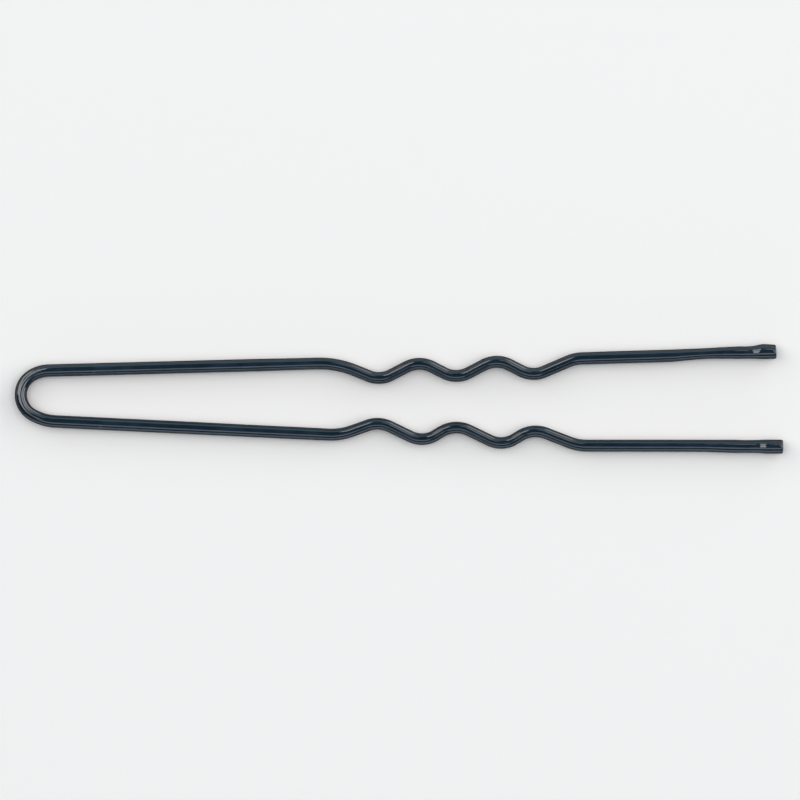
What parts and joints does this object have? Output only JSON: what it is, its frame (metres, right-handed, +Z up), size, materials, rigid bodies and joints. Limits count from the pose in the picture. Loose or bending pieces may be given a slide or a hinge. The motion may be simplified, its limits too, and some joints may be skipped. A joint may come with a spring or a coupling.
{
  "type": "hairpin",
  "caption": "Open U-shaped hairpin of black-lacquered spring wire: round bow, straight shanks, crimped middles that grip the hair and dipped blunt tips. The legs spring apart and together.",
  "frame": {"origin": "on the surface that the pin lies on, under the middle of its length and width", "axes": "+X along the pin from the bow to the tips, +Y to the left leg, +Z up out of the plane of the pin"},
  "size_m": [0.065, 0.0093, 0.0012],
  "materials": {
    "spring_steel": "drawn",
    "black_lacquer": "gloss",
    "tip_lacquer": "gloss"
  },
  "bodies": {
    "bow": {"bow_wire": "spring_steel", "bow_lacquer": "black_lacquer"},
    "left_leg": {"left_leg_wire": "spring_steel", "left_leg_lacquer": "black_lacquer", "left_tip": "tip_lacquer"},
    "right_leg": {"right_leg_wire": "spring_steel", "right_leg_lacquer": "black_lacquer", "right_tip": "tip_lacquer"}
  },
  "joints": [
    {"name": "left_leg_flex", "type": "hinge", "parent": "bow", "child": "left_leg", "pos_m": [-0.02361, 0.00259, 0.00061], "axis": [0, 0, 1], "range_deg": [-2.8, 8], "stiffness_Nm_per_rad": 0.24},
    {"name": "right_leg_flex", "type": "hinge", "parent": "bow", "child": "right_leg", "pos_m": [-0.02302, -0.00216, 0.00061], "axis": [0, 0, -1], "range_deg": [-2.8, 8], "stiffness_Nm_per_rad": 0.24}
  ]
}
